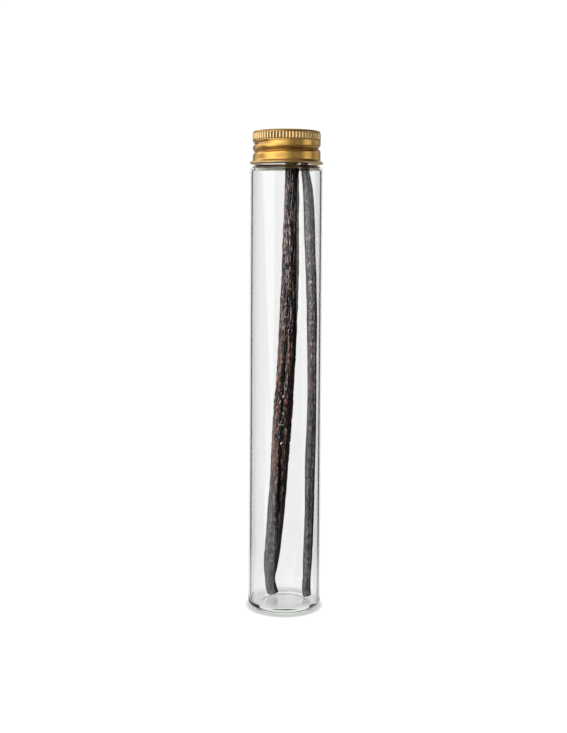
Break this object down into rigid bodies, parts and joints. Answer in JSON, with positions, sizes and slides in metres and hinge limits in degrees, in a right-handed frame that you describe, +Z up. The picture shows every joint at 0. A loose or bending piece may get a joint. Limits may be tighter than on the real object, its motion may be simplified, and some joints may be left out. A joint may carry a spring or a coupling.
{
  "type": "vanilla pods in a glass tube",
  "caption": "Tall clear glass tube with a gold-coloured aluminium screw cap, holding whole dark cured vanilla pods that stand upright inside it.",
  "frame": {"origin": "on the tube's axis, at the plane of the ring that the base stands on", "axes": "+Z up along the tube's axis to the cap, +X to the right with the pods seen in the rear half of the tube, -Y to the front"},
  "size_m": [0.03, 0.03, 0.1957],
  "materials": {
    "clear_glass": "clear tubing glass, fire polished, smooth and glossy",
    "gold_cap": "pressed and rolled sheet, gold lacquered, satin",
    "cured_pod": "cured skin, wrinkled lengthwise, oily sheen"
  },
  "bodies": {
    "root": {"glass_tube": "clear_glass", "screw_cap": "gold_cap", "broad_pod": "cured_pod", "slender_pod": "cured_pod"}
  },
  "joints": []
}
